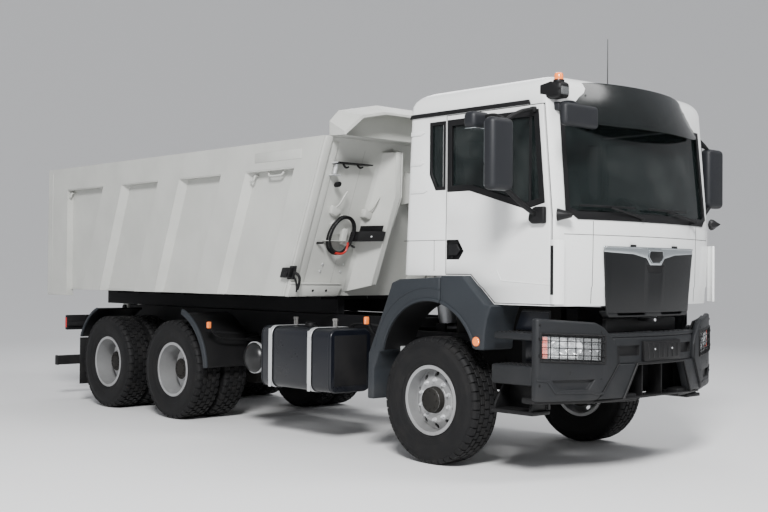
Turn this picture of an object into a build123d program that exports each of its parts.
from build123d import *
import math
import os

# Three-axle dump truck, forward-control cab, rear-tipping body, twin rear wheels.
# Frame: +X forward, +Y to the truck's left, +Z up, origin on the ground under the middle of its box.
# Lengths are in millimetres, and an x written here is measured forward from the front axle.

# Overall reach
FRONT_REACH = 1550
REAR_REACH = 6770
FRONT_AXLE_X = (REAR_REACH - FRONT_REACH) / 2
FIT = 0.3
GAP = 6

# Wheels and axles
WHEELBASE = 3932
BOGIE = 1398
TYRE_R = 541
TYRE_W = 312
BEAD_R = 286
RIM_FLANGE_R = 298
RIM_W = 254
FLANGE_W = 14
BARREL_R = 268
FRONT_WHEEL_Y = 1034
TWIN_OUTER_Y = 1067
TWIN_INNER_Y = 717
SPINDLE_R = 55
DRUM_R = 205
AXLE_TUBE_R = 75
DIFF_R = 215
AXLE2_X = -WHEELBASE
AXLE3_X = -WHEELBASE - BOGIE

# Steering
KINGPIN_Y = 840
KINGPIN_R = 24
LUG_R = 44
BEAM_EYE_HALF = 42
LUG_THICK = 34
TIE_X = -190
TIE_DROP = 118
TIE_R = 20

# Frame
RAIL_Y = 380
RAIL_W = 80
RAIL_Z0 = 800
RAIL_Z1 = 1070
RAIL_WEB = 12
FRAME_FRONT = 1150
FRAME_REAR = -6350
TOW_PIN_R = 20.5
SUB_Z1 = 1190
SUB_REAR = -6150
SUB_FRONT = -1150

# Tipping body
BED_PIVOT_X = -6250
BED_PIVOT_Z = 1150
BED_PIN_R = 35
BED_HALF = 1250
BED_TOP = 2900
BED_SKIRT_Z = 1387
BED_FLOOR_Z = 1450
BED_REAR = -REAR_REACH
BED_WALL = 14
BED_PLATE_Y = 1172
RAIL_LOW_Z = 2630
RAIL_IN_Y = 1150
POST_LEN = 500
POST_Z0 = 1310
WALL_TOP_X = -1310
WALL_LEAN = 0.39
FRONT_WALL = 40
SILL_Z0 = 1200
RIB_PITCH = 1212
RIB_FIRST = -5175
RIB_CROWN = 430
RIB_FLANK = 70
RIB_COUNT = 4
FLOOR_MEMBER_Y = 640

# Hoist
HOIST_FOOT_X = -850
HOIST_FOOT_Z = 1090
HOIST_TOP_X = -1080
HOIST_TOP_Z = 2420
BARREL_OUT = 115
STAGE_WALL = 16.7
STAGE_STEP = STAGE_WALL + FIT
STAGES = 4
NICHE_HALF = 350
CHEEK = 14

# Tailgate
GATE_HALF = 1112
GATE_IN_X = -6702
GATE_OUT_X = -6762
GATE_Z0 = 1392
GATE_Z1 = 2800
GATE_HINGE_X = -6725
GATE_HINGE_Z = 2850
GATE_SKIN = 14
GATE_FRAME = 70
GATE_FIELDS = 5

# Cab
CAB_HALF = 1120
CAB_REAR_LOW = -410
CAB_REAR_TOP = -320
CAB_LOW_Z = 1600
CAB_SILL_Z = 1370
CAB_BELT_Z = 2050
CAB_EAVE_Z = 3000
CAB_CROWN_Z = 3195
CAB_NOSE = 1450
CAB_SWEEP = 165
CAB_TOP_NOSE = 1310
CAB_WALL = 60
ARCH_KNEE_X = 420
ARCH_TOE_X = 665
CAB_PIVOT_X = 1250
CAB_PIVOT_Z = 900
PIVOT_PIN_R = 20
DOOR_REAR = 137
DOOR_FRONT_LOW = 1245
DOOR_FRONT_TOP = 1165
DOOR_TOP_Z = 2950
DOOR_LIFT = 14
DOOR_SEAM = 16
DOOR_EDGE = 6
HINGE_X = DOOR_FRONT_LOW - 4
HINGE_Y = CAB_HALF - 10
HINGE_ROOT_Y = CAB_HALF - 70
HINGE_HOOK_Y = CAB_HALF - 42
HINGE_PIN_R = 4.5
HINGE_EYE_R = 8
HINGE_ARM = 6
HINGE_LEVELS = (1520, 1960)
GLASS = 8
FLAP_X = 1447
FLAP_Z = 1857
FLAP_PIN_R = 4
FLAP_EYE_R = 8


def side_outline(points, y0, y1, mode=Mode.ADD):
    """Side outline of (x, z) points, solid from y0 to y1."""
    with BuildSketch(Plane.XZ.offset(-max(y0, y1))) as outline:
        with BuildLine():
            Polyline(*[(FRONT_AXLE_X + x, z) for x, z in points], close=True)
        make_face()
    extrude(outline.sketch, amount=abs(y1 - y0), mode=mode)


def front_outline(points, x0, x1, mode=Mode.ADD):
    """Front outline of (y, z) points, solid from x0 to x1."""
    with BuildSketch(Plane.YZ.offset(FRONT_AXLE_X + min(x0, x1))) as outline:
        with BuildLine():
            Polyline(*points, close=True)
        make_face()
    extrude(outline.sketch, amount=abs(x1 - x0), mode=mode)


def block(x0, x1, y0, y1, z0, z1, mode=Mode.ADD):
    """Box between two corners."""
    with Locations((FRONT_AXLE_X + (x0 + x1) / 2, (y0 + y1) / 2, (z0 + z1) / 2)):
        Box(abs(x1 - x0), abs(y1 - y0), abs(z1 - z0), mode=mode)


def rod(start, end, radius, mode=Mode.ADD):
    """Round bar from one point to another."""
    a = Vector(FRONT_AXLE_X + start[0], start[1], start[2])
    b = Vector(FRONT_AXLE_X + end[0], end[1], end[2])
    with BuildSketch(Plane(origin=a, z_dir=b - a)) as outline:
        Circle(radius)
    extrude(outline.sketch, amount=(b - a).length, mode=mode)


def across(x, z, y0, y1, radius, mode=Mode.ADD):
    """Round bar lying across the truck."""
    rod((x, min(y0, y1), z), (x, max(y0, y1), z), radius, mode)


def turned(x, z, points, mode=Mode.ADD):
    """Body of revolution about an axle line; points are (y, radius)."""
    with BuildSketch(Plane(origin=(FRONT_AXLE_X + x, 0, z), x_dir=(0, 1, 0), z_dir=(-1, 0, 0))) as outline:
        with BuildLine():
            Polyline(*points, close=True)
        make_face()
    axle = Axis((FRONT_AXLE_X + x, 0, z), (0, 1, 0))
    revolve(outline.sketch, axis=axle, mode=mode)


def tow_hole(x, z):
    """Upright hole for a towing pin."""
    with Locations((FRONT_AXLE_X + x, 0, z)):
        Cylinder(TOW_PIN_R, 200, mode=Mode.SUBTRACT)


def both_sides():
    """Mirror what is built so far to the other side of the truck."""
    mirror(about=Plane.XZ)


def finish(piece, label):
    """Label one node and write it."""
    piece.part.label = label
    export_step(piece.part, f"parts/{label}.step")


os.makedirs("parts", exist_ok=True)


# Wheels: tyre outline as (offset from its middle, radius), rims as one turned section
TYRE_OUTLINE = [
    (FLANGE_W - RIM_W / 2 + FIT, BEAD_R), (FLANGE_W - RIM_W / 2 + FIT, RIM_FLANGE_R + FIT),
    (-RIM_W / 2 - 4, RIM_FLANGE_R + 6), (-TYRE_W / 2, 420),
    (-TYRE_W / 2 + 4, 490), (-TYRE_W / 2 + 22, TYRE_R - 16), (-TYRE_W / 2 + 46, TYRE_R),
    (TYRE_W / 2 - 46, TYRE_R), (TYRE_W / 2 - 22, TYRE_R - 16), (TYRE_W / 2 - 4, 490),
    (TYRE_W / 2, 420), (RIM_W / 2 + 4, RIM_FLANGE_R + 6),
    (RIM_W / 2 - FLANGE_W - FIT, RIM_FLANGE_R + FIT), (RIM_W / 2 - FLANGE_W - FIT, BEAD_R),
]


def rim_barrel(x, y):
    """Rim without its disc, flanges outside the tyre's beads."""
    half = RIM_W / 2
    turned(x, TYRE_R, [
        (y - half, BARREL_R), (y - half, RIM_FLANGE_R), (y - half + 10, RIM_FLANGE_R),
        (y - half + FLANGE_W, BEAD_R - FIT), (y + half - FLANGE_W, BEAD_R - FIT), (y + half - 10, RIM_FLANGE_R),
        (y + half, RIM_FLANGE_R), (y + half, BARREL_R),
    ])


def vent_holes(x, y0, y1, count, ring, radius):
    """Ring of round holes through a wheel disc."""
    for step in range(count):
        turn = 2 * math.pi * (step + 0.5) / count
        across(x + ring * math.cos(turn), TYRE_R + ring * math.sin(turn), y0, y1, radius, Mode.SUBTRACT)


def tyre(x, ys, label):
    """Tyres of one wheel body."""
    with BuildPart() as rubber:
        for y in ys:
            turned(x, TYRE_R, [(y + offset, radius) for offset, radius in TYRE_OUTLINE])
    finish(rubber, label)


def front_rim(side, label):
    """Steered wheel's rim: bowed disc, hub and brake drum."""
    face = FRONT_WHEEL_Y + 62
    with BuildPart() as rim:
        rim_barrel(0, side * FRONT_WHEEL_Y)
        turned(0, TYRE_R, [
            (side * (face - 70), BARREL_R + 4), (side * (face - 58), BARREL_R + 4),
            (side * face, 190), (side * face, 60), (side * (face - 14), 60), (side * (face - 14), 186),
        ])
        vent_holes(0, side * (face - 80), side * (face + 10), 10, 222, 24)
        turned(0, TYRE_R, [
            (side * 960, SPINDLE_R + FIT), (side * 960, DRUM_R), (side * (face - 60), DRUM_R),
            (side * (face - 14), 150), (side * (face - 14), 110), (side * (face + 58), 105),
            (side * (face + 66), 90), (side * (face + 66), 0), (side * 1090, 0), (side * 1090, SPINDLE_R + FIT),
        ])
    finish(rim, label)


def twin_rim(x, side, label):
    """Two rims bolted back to back on one hub, with the brake drum inside."""
    middle = (TWIN_OUTER_Y + TWIN_INNER_Y) / 2
    with BuildPart() as rim:
        rim_barrel(x, side * TWIN_OUTER_Y)
        rim_barrel(x, side * TWIN_INNER_Y)
        for direction in (1, -1):
            turned(x, TYRE_R, [
                (side * middle, 120), (side * middle, 196), (side * (middle + direction * 62), BARREL_R + 4),
                (side * (middle + direction * 76), BARREL_R + 4), (side * (middle + direction * 14), 190),
                (side * (middle + direction * 14), 120),
            ])
        vent_holes(x, side * (middle - 90), side * (middle + 90), 10, 226, 22)
        turned(x, TYRE_R, [
            (side * 622, SPINDLE_R + FIT), (side * 622, DRUM_R), (side * (middle - 60), DRUM_R),
            (side * (middle - 14), 150), (side * (middle + 14), 150), (side * (middle + 30), 132),
            (side * (middle + 180), 122), (side * (middle + 196), 100), (side * (middle + 196), 0),
            (side * 1000, 0), (side * 1000, SPINDLE_R + FIT),
        ])
    finish(rim, label)


for name, side in (("right", -1), ("left", 1)):
    tyre(0, [side * FRONT_WHEEL_Y], f"tyre_front_{name}")
    front_rim(side, f"rim_front_{name}")
    for axle, x in (("mid", AXLE2_X), ("rear", AXLE3_X)):
        tyre(x, [side * TWIN_OUTER_Y, side * TWIN_INNER_Y], f"tyres_{axle}_{name}")
        twin_rim(x, side, f"rims_{axle}_{name}")


# Front axle beam with its spring seats and kingpin eyes
BEAM_END_Y = KINGPIN_Y - 10
with BuildPart() as front_axle_beam:
    half_beam = [(0, 430), (480, 430), (700, 490), (BEAM_END_Y, 499), (BEAM_END_Y, 583), (700, 583),
                 (500, 600), (360, 600), (330, 560), (0, 540)]
    front_outline(half_beam, -42, 42)
    both_sides()
    for side in (-1, 1):
        with Locations((FRONT_AXLE_X, side * KINGPIN_Y, TYRE_R)):
            Cylinder(LUG_R, 2 * BEAM_EYE_HALF)
            Cylinder(KINGPIN_R + FIT, 3 * BEAM_EYE_HALF, mode=Mode.SUBTRACT)
finish(front_axle_beam, "front_axle_beam")


def knuckle(side, label):
    """Fork round the beam's eye, kingpin, spindle, brake plate and steering arm."""
    near = KINGPIN_Y + LUG_R + 12
    low = TYRE_R - BEAM_EYE_HALF - 3
    high = TYRE_R + BEAM_EYE_HALF + 3
    with BuildPart() as fork:
        for z0, z1 in ((low - LUG_THICK, low), (high, high + LUG_THICK)):
            with Locations((FRONT_AXLE_X, side * KINGPIN_Y, (z0 + z1) / 2)):
                Cylinder(LUG_R, LUG_THICK)
            block(-LUG_R, LUG_R, side * KINGPIN_Y, side * near, z0, z1)
        block(-LUG_R, LUG_R, side * near, side * (near + 30), low - LUG_THICK, high + LUG_THICK)
        with Locations((FRONT_AXLE_X, side * KINGPIN_Y, TYRE_R)):
            Cylinder(KINGPIN_R, high - low + 2 * LUG_THICK)
        across(0, TYRE_R, side * (near + 20), side * 1085, SPINDLE_R)
        across(0, TYRE_R, side * (near + 26), side * (near + 50), DRUM_R - 4)
        arm_z = TYRE_R - TIE_DROP + 14
        block(TIE_X - 26, LUG_R, side * (KINGPIN_Y - 26), side * (KINGPIN_Y + 26), arm_z, arm_z + LUG_THICK)
        with Locations((FRONT_AXLE_X + TIE_X, side * KINGPIN_Y, arm_z - 18)):
            Cylinder(14, 44)
    finish(fork, label)


knuckle(-1, "knuckle_right")
knuckle(1, "knuckle_left")

# Tie rod between the steering arms, with an eye round each ball stud
with BuildPart() as tie_rod:
    tie_z = TYRE_R - TIE_DROP - 8
    across(TIE_X, tie_z, -KINGPIN_Y + 20, KINGPIN_Y - 20, TIE_R)
    for side in (-1, 1):
        with Locations((FRONT_AXLE_X + TIE_X, side * KINGPIN_Y, tie_z)):
            Cylinder(30, 36)
            Cylinder(14 + FIT, 36, mode=Mode.SUBTRACT)
finish(tie_rod, "tie_rod")


# Ladder frame: two channel rails and their cross members
with BuildPart() as ladder_frame:
    out = RAIL_Y + RAIL_W / 2
    channel = [(out, RAIL_Z0), (out, RAIL_Z1), (out - RAIL_W, RAIL_Z1), (out - RAIL_W, RAIL_Z1 - RAIL_WEB),
               (out - RAIL_WEB, RAIL_Z1 - RAIL_WEB), (out - RAIL_WEB, RAIL_Z0 + RAIL_WEB),
               (out - RAIL_W, RAIL_Z0 + RAIL_WEB), (out - RAIL_W, RAIL_Z0)]
    front_outline(channel, FRAME_REAR, FRAME_FRONT)
    both_sides()
    web = out - RAIL_WEB
    # Cross members: (rear x, front x, low z, high z)
    for x0, x1, z0, z1 in ((1060, 1140, 830, 960), (-950, -750, 960, 1020), (-2300, -2220, 860, 1010),
                           (-3330, -3250, 860, 1010), (-4700, -4580, 830, 1040), (-6320, -6200, 830, 1050)):
        block(x0, x1, -web, web, z0, z1)
    for side in (-1, 1):
        block(HOIST_FOOT_X - 60, HOIST_FOOT_X + 60, side * 128, side * 156, 1010, HOIST_FOOT_Z + 50)
        block(BED_PIVOT_X - 70, BED_PIVOT_X + 70, side * 285, side * 330, 1040, BED_PIVOT_Z + 55)
        block(FRAME_FRONT - 90, CAB_PIVOT_X + 45, side * 400, side * 450, 830, CAB_PIVOT_Z + 45)
        across(CAB_PIVOT_X, CAB_PIVOT_Z, side * 440, side * 520, PIVOT_PIN_R)
    across(BED_PIVOT_X, BED_PIVOT_Z, -450, 450, BED_PIN_R)
    across(HOIST_FOOT_X, HOIST_FOOT_Z, -156, 156, 20)
    block(FRAME_REAR - 80, -6310, -60, 60, 900, 1000)
    tow_hole(FRAME_REAR - 28, 950)
finish(ladder_frame, "ladder_frame")

# Tipper subframe on top of the rails
with BuildPart() as tipper_subframe:
    for side in (-1, 1):
        block(SUB_REAR, SUB_FRONT, side * (RAIL_Y - 40), side * (RAIL_Y + 40), RAIL_Z1, SUB_Z1)
    for x in (-6200, -5000, -3800, -2600, -1400):
        block(x + 60, x + 160, -RAIL_Y + 40, RAIL_Y - 40, RAIL_Z1 + 20, SUB_Z1 - 20)
finish(tipper_subframe, "tipper_subframe")

# Engine and gearbox as plain blocks, held between the rails
with BuildPart() as engine_block:
    block(-500, 720, -300, 300, 700, 1330)
    block(-500, 520, -230, 230, 1330, 1450)
    block(-1500, -500, -200, 200, 640, 940)
    block(-400, -300, -web, web, 880, 960)
    block(500, 600, -web, web, 880, 960)
finish(engine_block, "engine_block")

# Radiator at the front of the frame
with BuildPart() as radiator:
    block(800, 920, -330, 330, 760, 1330)
    block(820, 900, -web, web, 850, 930)
finish(radiator, "radiator")

# Leaf springs: stacked leaves as (half length, low z, high z), front pair then the bogie pair
FRONT_LEAVES = ((860, 660, 684), (640, 632, 660), (420, 600, 632))
BOGIE_LEAVES = ((720, 640, 668), (560, 668, 696), (380, 696, 724), (200, 724, 760))
with BuildPart() as leaf_springs:
    for half, z0, z1 in FRONT_LEAVES:
        block(-half, half, 395, 470, z0, z1)
    for x in (-830, 830):
        block(x - 30, x + 30, 400, 465, 684, RAIL_Z0)
    for half, z0, z1 in BOGIE_LEAVES:
        block(AXLE2_X - BOGIE / 2 - half, AXLE2_X - BOGIE / 2 + half, 432, 528, z0, z1)
    block(AXLE2_X - BOGIE / 2 - 110, AXLE2_X - BOGIE / 2 + 110, 420, 528, 760, 940)
    both_sides()
finish(leaf_springs, "leaf_springs")

# Two driven axles with their differential housings and spindles
with BuildPart() as drive_axles:
    for x in (AXLE2_X, AXLE3_X):
        across(x, TYRE_R, -600, 600, AXLE_TUBE_R)
        across(x, TYRE_R, -990, 990, SPINDLE_R)
        turned(x, TYRE_R, [(-190, 0), (-190, 110), (-110, DIFF_R), (110, DIFF_R), (190, 110), (190, 0)])
        block(x - 60, x + 60, -528, -432, 560, 640)
        block(x - 60, x + 60, 432, 528, 560, 640)
        for side in (-1, 1):
            across(x, TYRE_R, side * 590, side * 612, DRUM_R - 4)
finish(drive_axles, "drive_axles")

# Propeller shafts: gearbox to the first driven axle, and between the driven axles
with BuildPart() as propeller_shafts:
    rod((-1500 - FIT, 0, 780), (-1550, 0, 780), 60)
    rod((-1520, 0, 780), (AXLE2_X + 240, 0, 585), 50)
    rod((AXLE2_X + 260, 0, 585), (AXLE2_X + DIFF_R + FIT, 0, 585), 60)
    rod((AXLE2_X - DIFF_R - FIT, 0, 585), (AXLE3_X + DIFF_R + FIT, 0, 585), 50)
finish(propeller_shafts, "propeller_shafts")

# Fuel tank on the right rail, rounded along its length
TANK_REAR = -2300
TANK_FRONT = -1240
TANK_Z0 = 490
TANK_Z1 = 1090
TANK_OUT = 1220
TANK_IN = 700
TANK_ROUND = 85
TANK_STRAPS = (TANK_REAR + 160, TANK_FRONT - 300)
STRAP_W = 60
STRAP_THICK = 4
with BuildPart() as fuel_tank:
    block(TANK_REAR, TANK_FRONT, -TANK_OUT, -TANK_IN, TANK_Z0, TANK_Z1)
    fillet(fuel_tank.edges().filter_by(Axis.X), TANK_ROUND)
    fillet(fuel_tank.edges().filter_by(Axis.X, reverse=True).group_by(Axis.X)[-1], 20)
    with Locations((FRONT_AXLE_X + TANK_FRONT - 200, -960, TANK_Z1 + 12)):
        Cylinder(55, 44)
    for x in (TANK_REAR + 180, TANK_FRONT - 280):
        block(x - 35, x + 35, -TANK_IN, -out, 640, 960)
    for x in TANK_STRAPS:
        with BuildSketch(Plane.YZ.offset(FRONT_AXLE_X + x - STRAP_W / 2)) as strap:
            with Locations((-(TANK_OUT + TANK_IN) / 2, (TANK_Z0 + TANK_Z1) / 2)):
                RectangleRounded(TANK_OUT - TANK_IN + 2 * STRAP_THICK, TANK_Z1 - TANK_Z0 + 2 * STRAP_THICK,
                                 TANK_ROUND + STRAP_THICK)
        extrude(strap.sketch, amount=STRAP_W)
finish(fuel_tank, "fuel_tank")

# Air tanks across the truck behind the fuel tank
AIR_X = -2660
AIR_R = 158
with BuildPart() as air_tanks:
    with BuildSketch(Plane(origin=(FRONT_AXLE_X + AIR_X, 0, 740), x_dir=(0, 1, 0), z_dir=(-1, 0, 0))) as half_tank:
        with BuildLine():
            Line((-1110, 0), (-520, 0))
            Line((-520, 0), (-520, AIR_R - 40))
            Line((-520, AIR_R - 40), (-560, AIR_R))
            Polyline((-560, AIR_R), (-1030, AIR_R), (-1075, AIR_R - 34), (-1102, AIR_R - 84), (-1110, 0))
        make_face()
    revolve(half_tank.sketch, axis=Axis((FRONT_AXLE_X + AIR_X, 0, 740), (0, 1, 0)))
    block(AIR_X - 40, AIR_X + 40, -540, -out, 700, 900)
finish(air_tanks, "air_tanks")

# Silencer and battery boxes on the left rail
with BuildPart() as silencer_box:
    block(-1980, -1240, 620, 1200, 500, 1080)
    fillet(silencer_box.edges().filter_by(Axis.X), 50)
    block(-1700, -1500, out, 640, 700, 960)
    block(-2620, -2060, 700, 1190, 560, 1060)
    block(-2400, -2300, out, 720, 700, 960)
finish(silencer_box, "silencer_box")

# Wheel arches: rear part on the frame, front part on the cab, split at one upright line
ARCH_SPLIT = 165
ARCH_IN = 850
ARCH_OUT = 1220
ARCH_CX = 20
ARCH_CZ = 830
ARCH_R = 553


def arch_cut():
    """Round opening over the steered wheel."""
    across(ARCH_CX, ARCH_CZ, ARCH_IN - 20, ARCH_OUT + 20, ARCH_R, Mode.SUBTRACT)


with BuildPart() as wheel_arches:
    side_outline([(-730, 500), (-648, 500), (-648, 760), (-575, 930), (ARCH_SPLIT - GAP, 930), (ARCH_SPLIT - GAP, 1585),
                  (-430, 1550), (-475, 1380), (-720, 900)], ARCH_IN, ARCH_OUT)
    arch_cut()
    block(-700, -620, out, ARCH_IN + 10, 880, 960)
    both_sides()
finish(wheel_arches, "wheel_arches")

with BuildPart() as arch_fronts:
    side_outline([(ARCH_SPLIT, 1000), (ARCH_SPLIT, CAB_LOW_Z), (ARCH_KNEE_X, CAB_LOW_Z), (ARCH_TOE_X, CAB_SILL_Z),
                  (735, CAB_SILL_Z - 8), (660, 1150), (650, 1000)], ARCH_IN, ARCH_OUT)
    arch_cut()
    both_sides()
finish(arch_fronts, "arch_fronts")

# Rear mudguards: quarter shells before the first and after the last driven axle, with flaps
GUARD_R = 660
GUARD_THICK = 10
GUARD_IN = 600
GUARD_OUT = 1235


def guard(x, start, end):
    """Quarter shell round a twin wheel, between two angles from the forward direction."""
    with BuildSketch(Plane.XZ.offset(-GUARD_OUT)) as shell:
        with BuildLine():
            corners = []
            for turn in (start, (start + end) / 2, end):
                c = math.cos(math.radians(turn))
                s = math.sin(math.radians(turn))
                corners.append([(FRONT_AXLE_X + x + r * c, TYRE_R + r * s) for r in (GUARD_R, GUARD_R + GUARD_THICK)])
            ThreePointArc(corners[0][0], corners[1][0], corners[2][0])
            Line(corners[2][0], corners[2][1])
            ThreePointArc(corners[2][1], corners[1][1], corners[0][1])
            Line(corners[0][1], corners[0][0])
        make_face()
    extrude(shell.sketch, amount=GUARD_OUT - GUARD_IN)


with BuildPart() as rear_mudguards:
    guard(AXLE2_X, 6, 70)
    guard(AXLE3_X, 110, 155)
    block(AXLE2_X + 560, AXLE2_X + 610, out, GUARD_IN + 20, 860, 910)
    block(AXLE3_X - 600, AXLE3_X - 555, out, GUARD_IN + 20, 860, 910)
    block(AXLE3_X - 612, AXLE3_X - 600, GUARD_IN, GUARD_OUT, 230, 832)
    both_sides()
finish(rear_mudguards, "rear_mudguards")

# Rear underrun bar and tail lamp housings
with BuildPart() as underrun_bar:
    block(-6640, -6560, -1200, 1200, 420, 540)
    for side in (-1, 1):
        side_outline([(FRAME_REAR - FIT, 980), (FRAME_REAR - FIT, 820), (-6560, 450), (-6620, 450), (-6620, 540),
                      (-6420, 860)], side * 345, side * 415)
        block(-6400, -6360, side * 345, side * 1160, 920, 970)
        block(-6470, -6395, side * 850, side * 1165, 870, 1060)
finish(underrun_bar, "underrun_bar")


# Front bumper: swept corners up to the cab, low middle with a plate holder over an open step
BUMPER_REAR = 1187
BUMPER_Z0 = 624
BUMPER_Z1 = 1277
BUMPER_MID_Z = 1150
BUMPER_WALL = 70
BUMPER_HALF = 1245
BUMPER_SWEEP = 335
MIDDLE_HALF = 590
MIDDLE_FLARE = 50


def bumper_plan(inset):
    """Plan of the bumper, pulled in by a wall."""
    edge = BUMPER_HALF - inset
    rear = FRONT_AXLE_X + BUMPER_REAR - inset
    nose = FRONT_AXLE_X + FRONT_REACH - inset
    corner = nose - BUMPER_SWEEP * (edge / BUMPER_HALF) ** 2
    with BuildSketch(Plane.XY.offset(BUMPER_Z0)) as plan:
        with BuildLine():
            Line((rear, -edge), (corner, -edge))
            ThreePointArc((corner, -edge), (nose, 0), (corner, edge))
            Line((corner, edge), (rear, edge))
            Line((rear, edge), (rear, -edge))
        make_face()
    return plan.sketch


LAMP_REAR = 1200
LAMP_IN_Y = 700
LAMP_OUT_Y = 1215
LAMP_Z0 = 930
LAMP_Z1 = 1130
LAMP_RISE = 25
LAMP_BAR = 8
LAMP_BAR_LEVELS = (978, 1028, 1078)


def lamp_outline(side, z0, z1, grow):
    """Front outline of a headlamp or of one bar of its guard, rising towards the truck's side."""
    return [(side * (LAMP_IN_Y - grow), z0), (side * (LAMP_OUT_Y + grow), z0 + LAMP_RISE),
            (side * (LAMP_OUT_Y + grow), z1 + LAMP_RISE), (side * (LAMP_IN_Y - grow), z1)]


with BuildPart() as front_bumper:
    extrude(bumper_plan(0), amount=BUMPER_Z1 - BUMPER_Z0)
    extrude(bumper_plan(BUMPER_WALL), amount=BUMPER_Z1 - BUMPER_Z0, mode=Mode.SUBTRACT)
    front_outline([(-MIDDLE_HALF, BUMPER_MID_Z), (-MIDDLE_HALF - MIDDLE_FLARE, BUMPER_Z1),
                   (-MIDDLE_HALF - MIDDLE_FLARE, 1300), (MIDDLE_HALF + MIDDLE_FLARE, 1300),
                   (MIDDLE_HALF + MIDDLE_FLARE, BUMPER_Z1), (MIDDLE_HALF, BUMPER_MID_Z)], 1100, 1600, Mode.SUBTRACT)
    front_outline([(-470, 600), (-330, 900), (330, 900), (470, 600)], 1300, 1600, Mode.SUBTRACT)
    for side in (-1, 1):
        front_outline(lamp_outline(side, LAMP_Z0, LAMP_Z1, 0), LAMP_REAR, 1600, Mode.SUBTRACT)
        block(FRAME_FRONT - 40, FRONT_REACH - BUMPER_WALL - 5, side * 340, side * 395, 960, 1040)
    block(1400, 1480, -560, 560, 960, 1060)
    tow_hole(1440, 1010)
    block(1340, 1400, -640, 640, 625, 690)
    for side in (-1, 1):
        block(1360, 1420, side * 600, side * 640, 640, 1040)
    with BuildPart(mode=Mode.PRIVATE) as guard_bars:
        for side in (-1, 1):
            for z in LAMP_BAR_LEVELS:
                front_outline(lamp_outline(side, z, z + LAMP_BAR, 10), LAMP_REAR, 1600)
        with BuildPart(mode=Mode.PRIVATE) as bar_skin:
            extrude(bumper_plan(0), amount=BUMPER_Z1 - BUMPER_Z0)
            extrude(bumper_plan(LAMP_BAR), amount=BUMPER_Z1 - BUMPER_Z0, mode=Mode.SUBTRACT)
        add(bar_skin.part, mode=Mode.INTERSECT)
    add(guard_bars.part)
finish(front_bumper, "front_bumper")

with BuildPart() as headlamps:
    extrude(bumper_plan(12), amount=BUMPER_Z1 - BUMPER_Z0)
    extrude(bumper_plan(BUMPER_WALL), amount=BUMPER_Z1 - BUMPER_Z0, mode=Mode.SUBTRACT)
    front_outline(lamp_outline(1, LAMP_Z0 + FIT, LAMP_Z1 - FIT, -FIT), LAMP_REAR + FIT, 1600, Mode.INTERSECT)
    both_sides()
finish(headlamps, "headlamps")

# Entry steps between the wheel arch and the bumper
STEP_REAR = 745
STEP_FRONT = BUMPER_REAR - 70
with BuildPart() as entry_steps:
    block(STEP_REAR + 115, STEP_FRONT, 960, 985, 540, 1310)
    block(STEP_REAR, STEP_FRONT, 980, 1190, 1105, 1155)
    block(STEP_REAR - 20, STEP_FRONT, 980, 1215, 750, 900)
    block(STEP_REAR, STEP_FRONT, 985, 1190, 520, 545)
    for x in (STEP_REAR, STEP_FRONT - 25):
        block(x, x + 25, 980, 1060, 530, 760)
    block(900, 980, out, 970, 900, 980)
    both_sides()
finish(entry_steps, "entry_steps")


# Cab: a stack of plan sections, each a rounded box with a swept nose
# Columns: height, rear x, half width, nose x, sweep of the nose, corner radius
CAB_SECTIONS = (
    (CAB_SILL_Z, CAB_REAR_LOW, CAB_HALF, CAB_NOSE - 16, CAB_SWEEP, 60),
    (CAB_BELT_Z, CAB_REAR_LOW + 30, CAB_HALF, CAB_NOSE, CAB_SWEEP, 60),
    (CAB_EAVE_Z, CAB_REAR_TOP, CAB_HALF, CAB_TOP_NOSE, CAB_SWEEP - 60, 60),
    (CAB_EAVE_Z + 90, CAB_REAR_TOP + 50, CAB_HALF - 50, CAB_TOP_NOSE - 40, CAB_SWEEP - 60, 60),
    (CAB_CROWN_Z, CAB_REAR_TOP + 260, CAB_HALF - 260, CAB_TOP_NOSE - 160, CAB_SWEEP - 90, 60),
)


def cab_form(inset):
    """Closed form of the cab, pulled in all round by a wall."""
    with BuildPart() as form:
        for index, (z, rear, half, nose, sweep, radius) in enumerate(CAB_SECTIONS):
            top = index == len(CAB_SECTIONS) - 1
            level = z + (inset if index == 0 else (-inset if top else 0))
            x0 = FRONT_AXLE_X + rear + inset
            x1 = FRONT_AXLE_X + nose - inset
            y = half - inset
            with BuildSketch(Plane.XY.offset(level)) as section:
                with BuildLine():
                    Line((x1 - sweep, y), (x0, y))
                    Line((x0, y), (x0, -y))
                    Line((x0, -y), (x1 - sweep, -y))
                    ThreePointArc((x1 - sweep, -y), (x1, 0), (x1 - sweep, y))
                make_face()
                fillet(section.vertices(), radius)
        loft(ruled=True)
    return form.part


def door_outline(grow):
    """Door outline in side view, grown on every side, and by the seam at its front when it is the opening."""
    low = CAB_SILL_Z + DOOR_LIFT
    rise = CAB_LOW_Z + DOOR_LIFT
    ahead = DOOR_SEAM if grow else 0
    return [(DOOR_REAR - grow, rise - grow), (ARCH_KNEE_X + 4 - grow, rise - grow), (ARCH_TOE_X + 8 - grow, low - grow),
            (DOOR_FRONT_LOW + ahead, low - grow), (DOOR_FRONT_LOW + ahead, CAB_BELT_Z),
            (DOOR_FRONT_TOP + ahead, DOOR_TOP_Z + grow), (DOOR_REAR - grow, DOOR_TOP_Z + grow)]


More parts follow.
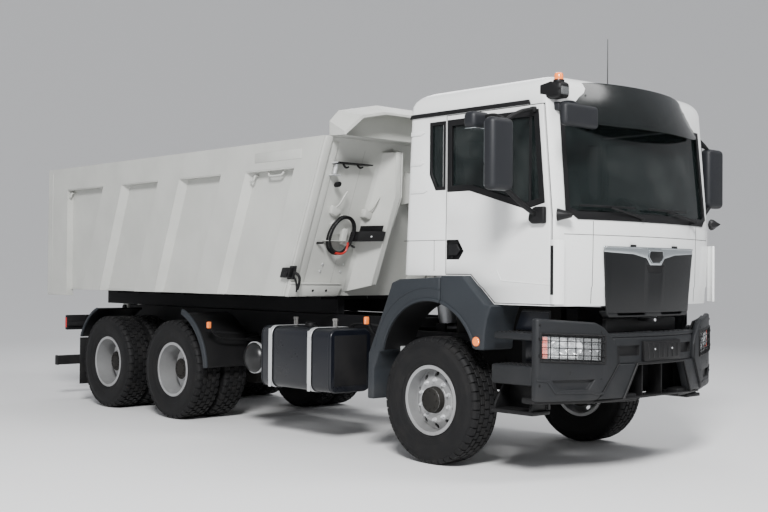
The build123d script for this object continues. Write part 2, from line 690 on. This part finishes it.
# Window outlines: side view (x, z) for the doors and quarter lights, front view (y, z) for the windscreen
DOOR_WINDOW = [(DOOR_REAR + 55, 2330), (400, 2330), (1010, 2165), (1150, 2215), (1095, 2885), (DOOR_REAR + 55, 2885)]
QUARTER_WINDOW = [(-40, 2470), (20, 2350), (DOOR_REAR - 45, 2350), (DOOR_REAR - 45, 2885), (-40, 2885)]
SCREEN_LOW = CAB_HALF - 220
SCREEN_WIDE = CAB_HALF - 120
SCREEN_TOP = CAB_HALF - 130
SCREEN = [(-SCREEN_LOW, 2075), (-SCREEN_WIDE, 2120), (-SCREEN_TOP, 2890), (SCREEN_TOP, 2890), (SCREEN_WIDE, 2120),
          (SCREEN_LOW, 2075)]
ARCH_VOID = [(CAB_REAR_LOW - 50, CAB_SILL_Z - 10), (CAB_REAR_LOW - 50, CAB_LOW_Z), (ARCH_KNEE_X, CAB_LOW_Z),
             (ARCH_TOE_X, CAB_SILL_Z), (ARCH_TOE_X, CAB_SILL_Z - 10)]
FLOOR_BACK = [(CAB_REAR_LOW, CAB_SILL_Z), (CAB_REAR_LOW, CAB_LOW_Z + CAB_WALL),
              (ARCH_KNEE_X + 25, CAB_LOW_Z + CAB_WALL), (ARCH_TOE_X + 25, CAB_SILL_Z + CAB_WALL), (ARCH_TOE_X, CAB_SILL_Z)]


def pull_in(points, amount):
    """Polygon moved inwards by an amount, for a pane inside its opening."""
    with BuildSketch() as pane:
        with BuildLine():
            Polyline(*points, close=True)
        make_face()
        offset(amount=-amount, mode=Mode.REPLACE)
    corners = pane.sketch.faces()[0].outer_wire().order_edges()
    return [(edge.start_point().X, edge.start_point().Y) for edge in corners]


outer_form = cab_form(0)
inner_form = cab_form(CAB_WALL)
with BuildPart() as cab_shell:
    add(outer_form)
    with BuildPart(mode=Mode.PRIVATE) as room:
        add(inner_form)
        side_outline(FLOOR_BACK, -CAB_HALF, CAB_HALF, Mode.SUBTRACT)
    add(room.part, mode=Mode.SUBTRACT)
    side_outline(ARCH_VOID, -CAB_HALF - 10, CAB_HALF + 10, Mode.SUBTRACT)
    front_outline(SCREEN, 1130, 1500, Mode.SUBTRACT)
    for side in (-1, 1):
        side_outline(door_outline(GAP), side * (CAB_HALF - CAB_WALL - 4), side * (CAB_HALF + 10), Mode.SUBTRACT)
        side_outline(QUARTER_WINDOW, side * (CAB_HALF - CAB_WALL - 4), side * (CAB_HALF + 10), Mode.SUBTRACT)
        side_outline([(CAB_PIVOT_X - 45, CAB_PIVOT_Z - 45), (CAB_PIVOT_X + 40, CAB_PIVOT_Z - 45),
                      (CAB_PIVOT_X + 40, CAB_PIVOT_Z + 40), (CAB_PIVOT_X - 130, CAB_PIVOT_Z + 130),
                      (CAB_PIVOT_X - 130, CAB_SILL_Z + 20), (CAB_PIVOT_X - 230, CAB_SILL_Z + 20),
                      (CAB_PIVOT_X - 230, CAB_PIVOT_Z + 90)], side * 460, side * 510)
        across(CAB_PIVOT_X, CAB_PIVOT_Z, side * 455, side * 515, PIVOT_PIN_R + FIT, Mode.SUBTRACT)
        for z in HINGE_LEVELS:
            arm_x = DOOR_FRONT_LOW + DOOR_SEAM / 2
            block(HINGE_X, arm_x, side * (HINGE_Y - HINGE_EYE_R), side * HINGE_Y, z - 26, z + 26)
            block(arm_x - HINGE_ARM / 2, arm_x + HINGE_ARM / 2, side * HINGE_ROOT_Y, side * HINGE_Y, z - 26, z + 26)
            block(arm_x, arm_x + 20, side * HINGE_ROOT_Y, side * HINGE_HOOK_Y, z - 26, z + 26)
            with Locations((FRONT_AXLE_X + HINGE_X, side * HINGE_Y, z)):
                Cylinder(HINGE_EYE_R, 52)
                Cylinder(HINGE_PIN_R + FIT, 52, mode=Mode.SUBTRACT)
        block(1400, FLAP_X, side * 284, side * 316, FLAP_Z - FLAP_EYE_R, FLAP_Z + FLAP_EYE_R)
        across(FLAP_X, FLAP_Z, side * 284, side * 316, FLAP_EYE_R)
        across(FLAP_X, FLAP_Z, side * 280, side * 320, FLAP_PIN_R + FIT, Mode.SUBTRACT)
finish(cab_shell, "cab_shell")

with BuildPart() as windscreen:
    add(cab_form(20))
    add(cab_form(20 + GLASS), mode=Mode.SUBTRACT)
    front_outline(pull_in(SCREEN, FIT), 1130, 1500, Mode.INTERSECT)
finish(windscreen, "windscreen")

with BuildPart() as quarter_glass:
    side_outline(pull_in(QUARTER_WINDOW, FIT), CAB_HALF - 24, CAB_HALF - 24 + GLASS)
    both_sides()
finish(quarter_glass, "quarter_glass")


# Doors with their panes and mirrors, one set for each side
MIRROR_OUT = CAB_HALF + 540
MIRROR_IN = MIRROR_OUT - 260
for name, side in (("right", -1), ("left", 1)):
    with BuildPart() as door:
        side_outline(door_outline(0), side * (CAB_HALF - CAB_WALL), side * CAB_HALF)
        front_edges = [edge for edge in door.edges() if abs(edge.center().Y - side * CAB_HALF) < 1
                       and edge.center().X > FRONT_AXLE_X + DOOR_FRONT_TOP]
        chamfer(front_edges, DOOR_EDGE)
        side_outline(DOOR_WINDOW, side * (CAB_HALF - CAB_WALL - 5), side * (CAB_HALF + 5), Mode.SUBTRACT)
        side_outline([(150, 1730), (330, 1760), (330, 1870), (280, 1905), (150, 1905)],
                     side * (CAB_HALF - 22), side * (CAB_HALF + 5), Mode.SUBTRACT)
        for z in HINGE_LEVELS:
            block(HINGE_X - 18, HINGE_X + 20, side * (HINGE_Y - 18), side * (CAB_HALF + 5), z - 32, z + 32,
                  Mode.SUBTRACT)
            with Locations((FRONT_AXLE_X + HINGE_X, side * HINGE_Y, z)):
                Cylinder(HINGE_PIN_R, 80)
    finish(door, f"door_{name}")
    with BuildPart() as pane:
        side_outline(pull_in(DOOR_WINDOW, FIT), side * (CAB_HALF - 32), side * (CAB_HALF - 32 + GLASS))
    finish(pane, f"door_glass_{name}")
    with BuildPart() as mirrors:
        block(1010, 1130, side * MIRROR_IN, side * MIRROR_OUT, 2250, 2810)
        fillet(mirrors.edges(), 30)
        block(790, 920, side * (MIRROR_IN + 30), side * (MIRROR_OUT - 20), 2735, 2880)
        block(1060, 1212, side * CAB_HALF, side * (CAB_HALF + 45), 2020, 2140)
        rod((1110, side * (CAB_HALF + 20), 2090), (1085, side * (MIRROR_IN + 60), 2270), 22)
        block(1060, 1100, side * CAB_HALF, side * (CAB_HALF + 40), 2890, 2930)
        rod((1080, side * (CAB_HALF + 20), 2910), (1075, side * (MIRROR_IN + 70), 2780), 18)
        rod((1080, side * (MIRROR_IN + 40), 2800), (880, side * (MIRROR_IN + 100), 2830), 16)
    finish(mirrors, f"mirrors_{name}")

# Pieces seated on the cab are cut to its form, a hair away from it
seat_form = cab_form(-FIT)

# Sun visor: smoked band standing off the windscreen's upper edge, on two brackets
# Columns: height, nose x, half width, sweep
VISOR_SECTIONS = ((2800, 1500, CAB_HALF - 220, 205), (3175, 1345, CAB_HALF - 230, 190))
VISOR_THICK = 14
VISOR_ARM_Y = CAB_HALF - 420
VISOR_ARM_Z = 3045


def visor_face(y, z):
    """Front face of the visor at one place."""
    low, high = VISOR_SECTIONS
    share = (z - low[0]) / (high[0] - low[0])
    nose, half, sweep = [a + share * (b - a) for a, b in zip(low[1:], high[1:])]
    bow = (half ** 2 + sweep ** 2) / (2 * sweep)
    return nose - bow + math.sqrt(bow ** 2 - y ** 2)


with BuildPart() as sun_visor:
    for z, nose, half, sweep in VISOR_SECTIONS:
        with BuildSketch(Plane.XY.offset(z)) as band:
            with BuildLine():
                face = FRONT_AXLE_X + nose
                back = face - VISOR_THICK
                ThreePointArc((face - sweep, -half), (face, 0), (face - sweep, half))
                Line((face - sweep, half), (back - sweep, half))
                ThreePointArc((back - sweep, half), (back, 0), (back - sweep, -half))
                Line((back - sweep, -half), (face - sweep, -half))
            make_face()
    loft(ruled=True)
    for y in (-VISOR_ARM_Y, VISOR_ARM_Y):
        block(1100, visor_face(y, VISOR_ARM_Z) - VISOR_THICK / 2, y - 20, y + 20, VISOR_ARM_Z - 15, VISOR_ARM_Z + 15)
    add(seat_form, mode=Mode.SUBTRACT)
finish(sun_visor, "sun_visor")

# Roof lamp pod and beacon on the right front corner of the roof, aerial near its middle
AERIAL_X = 1000
AERIAL_Y = -40
with BuildPart() as roof_lamps:
    block(1215, 1330, -CAB_HALF + 20, -CAB_HALF + 110, 2985, 3110)
    block(1100, 1230, -CAB_HALF + 40, -CAB_HALF + 100, 3020, 3080)
    with Locations((FRONT_AXLE_X + 1270, -CAB_HALF + 65, 3150)):
        Cylinder(36, 90)
    with Locations((FRONT_AXLE_X + AERIAL_X, AERIAL_Y, CAB_CROWN_Z + 225)):
        Cylinder(6, 440)
    block(AERIAL_X - 20, AERIAL_X + 20, AERIAL_Y - 20, AERIAL_Y + 20, CAB_CROWN_Z - 45, CAB_CROWN_Z + 20)
    add(seat_form, mode=Mode.SUBTRACT)
finish(roof_lamps, "roof_lamps")

# Front mirror over the windscreen's right corner, on an arm from the front wall
with BuildPart() as front_mirror:
    block(1510, 1548, -CAB_HALF - 200, -CAB_HALF + 220, 2730, 2910)
    rod((1180, -CAB_HALF + 110, 2930), (1525, -CAB_HALF + 40, 2860), 16)
    add(seat_form, mode=Mode.SUBTRACT)
finish(front_mirror, "front_mirror")

# Dashboard with the steering wheel
with BuildPart() as dashboard:
    block(1060, 1205, -CAB_HALF + 120, CAB_HALF - 120, 1800, 2060)
    block(1000, 1100, 200, 900, 2000, 2120)
    rod((1050, 560, 1990), (860, 560, 2130), 30)
    wheel_plane = Plane(origin=(FRONT_AXLE_X + 860, 560, 2130), z_dir=(-190, 0, 140))
    with BuildSketch(wheel_plane) as ring:
        Circle(230)
        Circle(200, mode=Mode.SUBTRACT)
        Rectangle(420, 40)
        Circle(60)
    extrude(ring.sketch, amount=26)
    block(1100, 1195, -CAB_HALF + 220, CAB_HALF - 220, CAB_SILL_Z + CAB_WALL + FIT, 1810)
finish(dashboard, "dashboard")

# Seats on the cab floor
with BuildPart() as seats:
    for y in (-560, 560):
        block(100, 600, y - 250, y + 250, 1940, 2080)
        block(120, 420, y - 180, y + 180, CAB_LOW_Z + CAB_WALL + FIT, 1940)
        side_outline([(100, 2000), (200, 2000), (60, 2760), (-40, 2760)], y - 230, y + 230)
    block(-320, 60, -280, 280, CAB_LOW_Z + CAB_WALL + FIT, 1800)
finish(seats, "seats")

# Grille panel: a flap hinged along its top, with its lower lip
GRILLE_TOP = 1842
GRILLE_LIP = 1275
GRILLE_THICK = 14
# Columns: height, half width, nose x of its back face
GRILLE_SECTIONS = ((GRILLE_LIP, 590, CAB_NOSE - 10), (GRILLE_TOP, 645, CAB_NOSE + 3))
with BuildPart() as grille_panel:
    for z, half, nose in GRILLE_SECTIONS:
        with BuildSketch(Plane.XY.offset(z)) as panel:
            with BuildLine():
                back = FRONT_AXLE_X + nose
                face = back + GRILLE_THICK
                sweep = CAB_SWEEP * (half / CAB_HALF) ** 2
                ThreePointArc((face - sweep, -half), (face, 0), (face - sweep, half))
                Line((face - sweep, half), (back - sweep, half))
                ThreePointArc((back - sweep, half), (back, 0), (back - sweep, -half))
                Line((back - sweep, -half), (face - sweep, -half))
            make_face()
    loft(ruled=True)
    for side in (-1, 1):
        for y in (268, 332):
            block(FLAP_X - 6, FLAP_X + 6, side * (y - 6), side * (y + 6), GRILLE_TOP - 20, FLAP_Z + FLAP_EYE_R)
        across(FLAP_X, FLAP_Z, side * 262, side * 338, FLAP_PIN_R)
    block(1300, 1600, -420, -60, GRILLE_LIP + 25, GRILLE_LIP + 75, Mode.SUBTRACT)
    block(1300, 1600, 60, 420, GRILLE_LIP + 25, GRILLE_LIP + 75, Mode.SUBTRACT)
finish(grille_panel, "grille_panel")


# Tipping body: floor, ribbed sides, rear posts and long sills
def wall_x(z):
    """Front face of the leaning front wall at a height."""
    return WALL_TOP_X - WALL_LEAN * (BED_TOP - z)


with BuildPart() as bed_tub:
    behind = FRONT_WALL + FIT
    side_outline([(BED_REAR + 40, BED_SKIRT_Z), (BED_REAR + 40, BED_TOP - 60), (wall_x(BED_TOP - 60) - behind, BED_TOP - 60),
                  (wall_x(BED_SKIRT_Z) - behind, BED_SKIRT_Z)], BED_PLATE_Y - BED_WALL, BED_PLATE_Y)
    side_outline([(BED_REAR + 40, RAIL_LOW_Z), (BED_REAR + 40, BED_TOP), (wall_x(BED_TOP) - behind, BED_TOP),
                  (wall_x(RAIL_LOW_Z) - behind, RAIL_LOW_Z)], RAIL_IN_Y, BED_HALF)
    block(BED_REAR, BED_REAR + POST_LEN, BED_PLATE_Y - BED_WALL, BED_HALF, POST_Z0, BED_TOP)
    for index in range(RIB_COUNT):
        top_x = RIB_FIRST + index * RIB_PITCH
        low_x = top_x - WALL_LEAN * (RAIL_LOW_Z - BED_SKIRT_Z)
        plates = []
        for z, x in ((BED_SKIRT_Z, low_x), (RAIL_LOW_Z, top_x)):
            with BuildSketch(Plane.XY.offset(z)) as rib:
                with BuildLine():
                    base = FRONT_AXLE_X + x
                    Polyline((base - RIB_CROWN / 2 - RIB_FLANK, BED_PLATE_Y - 2), (base - RIB_CROWN / 2, BED_HALF),
                             (base + RIB_CROWN / 2, BED_HALF), (base + RIB_CROWN / 2 + RIB_FLANK, BED_PLATE_Y - 2),
                             close=True)
                make_face()
            plates.append(rib.sketch.faces()[0])
        loft(plates, ruled=True)
    both_sides()
    split_face = [(wall_x(BED_SKIRT_Z - 10) - behind, BED_SKIRT_Z - 10), (wall_x(BED_TOP + 10) - behind, BED_TOP + 10),
                  (wall_x(BED_TOP) + 900, BED_TOP + 10), (wall_x(BED_TOP) + 900, BED_SKIRT_Z - 10)]
    side_outline(split_face, -BED_HALF - 10, BED_HALF + 10, Mode.SUBTRACT)
    floor_front = wall_x(BED_FLOOR_Z - 40) - behind
    side_outline([(GATE_IN_X + 7, BED_FLOOR_Z - 40), (GATE_IN_X + 7, BED_FLOOR_Z), (wall_x(BED_FLOOR_Z) - behind, BED_FLOOR_Z),
                  (floor_front, BED_FLOOR_Z - 40)], -BED_PLATE_Y + 2, BED_PLATE_Y - 2)
    for side in (-1, 1):
        block(GATE_IN_X + 7, -2050, side * (RAIL_Y - 40), side * (RAIL_Y + 40), SILL_Z0, BED_FLOOR_Z - 38)
        across(BED_PIVOT_X, BED_PIVOT_Z, side * (RAIL_Y - 40), side * (RAIL_Y + 40), 60)
        block(BED_PIVOT_X - 60, BED_PIVOT_X + 60, side * (RAIL_Y - 40), side * (RAIL_Y + 40), BED_PIVOT_Z, SILL_Z0 + 5)
    across(BED_PIVOT_X, BED_PIVOT_Z, -RAIL_Y - 50, RAIL_Y + 50, BED_PIN_R + FIT, Mode.SUBTRACT)
    for step in range(9):
        x = -6100 + step * 500
        block(x - 30, x + 30, -FLOOR_MEMBER_Y, FLOOR_MEMBER_Y, BED_SKIRT_Z - 40, BED_FLOOR_Z - 38)
    for side in (-1, 1):
        across(GATE_HINGE_X, GATE_HINGE_Z, side * (GATE_HALF - 12), side * (BED_HALF - 20), 18 + FIT, Mode.SUBTRACT)
finish(bed_tub, "bed_tub")

# Front wall with the hoist niche, its cheeks, the hoist lugs and the short canopy
CANOPY_REAR = -1325
CANOPY_FRONT = -1080
CANOPY_THICK = 24
CANOPY_HIGH = ((1180, 2900), (1180, 3040), (1070, 3150), (580, 3250))
CANOPY_LOW = ((1205, 2890), (1205, 2920), (990, 3090), (700, 3150))


def canopy_section(x, half, inset):
    """Front outline of the canopy at one place, pulled in by a wall."""
    points = [(y - inset, z - (0 if index == 0 else inset)) for index, (y, z) in enumerate(half)]
    points += [(-y, z) for y, z in reversed(points)]
    with BuildSketch(Plane.YZ.offset(FRONT_AXLE_X + x)) as section:
        with BuildLine():
            Polyline(*points, close=True)
        make_face()
    return section.sketch.faces()[0]


with BuildPart() as bed_headboard:
    side_outline([(wall_x(BED_SKIRT_Z), BED_SKIRT_Z), (wall_x(BED_TOP), BED_TOP), (wall_x(BED_TOP) - FRONT_WALL, BED_TOP),
                  (wall_x(BED_SKIRT_Z) - FRONT_WALL, BED_SKIRT_Z)], -BED_HALF, BED_HALF)
    for side in (-1, 1):
        side_outline([(wall_x(1500) - 10, 1500), (wall_x(1500) + 270, 1510), (wall_x(2360) + 310, 2360),
                      (wall_x(2800) + 150, 2800), (wall_x(2800) - 10, 2850)],
                     side * NICHE_HALF, side * (NICHE_HALF - CHEEK))
        side_outline([(wall_x(2300) - 10, 2300), (HOIST_TOP_X + 60, HOIST_TOP_Z - 60),
                      (HOIST_TOP_X + 60, HOIST_TOP_Z + 60), (wall_x(2640) - 10, 2640)], side * 72, side * 98)
    block(CANOPY_REAR, WALL_TOP_X, -1180, 1180, BED_TOP - 10, 3045)
    front_outline([(-1100, 2890), (-1070, 3130), (-580, 3230), (580, 3230), (1070, 3130), (1100, 2890)],
                  CANOPY_REAR, CANOPY_REAR + 24)
    loft([canopy_section(CANOPY_REAR, CANOPY_HIGH, 0), canopy_section(CANOPY_FRONT, CANOPY_LOW, 0)], ruled=True)
    loft([canopy_section(CANOPY_REAR + 24, CANOPY_HIGH, CANOPY_THICK),
          canopy_section(CANOPY_FRONT + 1, CANOPY_LOW, CANOPY_THICK)], ruled=True, mode=Mode.SUBTRACT)
finish(bed_headboard, "bed_headboard")

# Tailgate, hung between the posts
with BuildPart() as tailgate:
    block(GATE_OUT_X, GATE_IN_X, -GATE_HALF, GATE_HALF, GATE_Z0, GATE_Z1)
    pitch = (2 * GATE_HALF - GATE_FRAME) / GATE_FIELDS
    for field in range(GATE_FIELDS):
        y = -GATE_HALF + GATE_FRAME + field * pitch
        block(GATE_OUT_X, GATE_IN_X - GATE_SKIN, y, y + pitch - GATE_FRAME, GATE_Z0 + GATE_FRAME,
              GATE_Z1 - GATE_FRAME, Mode.SUBTRACT)
    for side in (-1, 1):
        block(GATE_HINGE_X - 26, GATE_HINGE_X + 20, side * (GATE_HALF - 50), side * GATE_HALF, GATE_Z1 - 20, GATE_HINGE_Z + 22)
        across(GATE_HINGE_X, GATE_HINGE_Z, side * (GATE_HALF - 30), side * (BED_HALF - 30), 18)
finish(tailgate, "tailgate")

# Telescopic hoist: barrel and stages as tubes round one leaning line
hoist_foot = Vector(FRONT_AXLE_X + HOIST_FOOT_X, 0, HOIST_FOOT_Z)
hoist_top = Vector(FRONT_AXLE_X + HOIST_TOP_X, 0, HOIST_TOP_Z)
hoist_line = Plane(origin=hoist_foot, x_dir=(0, 1, 0), z_dir=hoist_top - hoist_foot)
hoist_length = (hoist_top - hoist_foot).length
BARREL_BASE = 40
with BuildPart() as hoist_barrel:
    with BuildSketch(hoist_line.offset(BARREL_BASE)):
        Circle(BARREL_OUT)
    extrude(amount=hoist_length - BARREL_BASE - 130)
    with BuildSketch(hoist_line.offset(BARREL_BASE + 30)):
        Circle(BARREL_OUT - STAGE_WALL)
    extrude(amount=hoist_length, mode=Mode.SUBTRACT)
    across(HOIST_FOOT_X, HOIST_FOOT_Z, -120, 120, 46)
    across(HOIST_FOOT_X, HOIST_FOOT_Z, -125, 125, 20 + FIT, Mode.SUBTRACT)
finish(hoist_barrel, "hoist_barrel")

for stage in range(1, STAGES + 1):
    radius = BARREL_OUT - stage * STAGE_STEP
    base = BARREL_BASE + 30 + stage * 6
    top = hoist_length - 130 + stage * 20
    with BuildPart() as tube:
        with BuildSketch(hoist_line.offset(base)):
            Circle(radius)
        extrude(amount=top - base)
        if stage < STAGES:
            with BuildSketch(hoist_line.offset(base)):
                Circle(radius - STAGE_WALL)
            extrude(amount=top - base, mode=Mode.SUBTRACT)
        else:
            across(HOIST_TOP_X, HOIST_TOP_Z, -66, 66, 55)
    finish(tube, f"hoist_stage_{stage}")
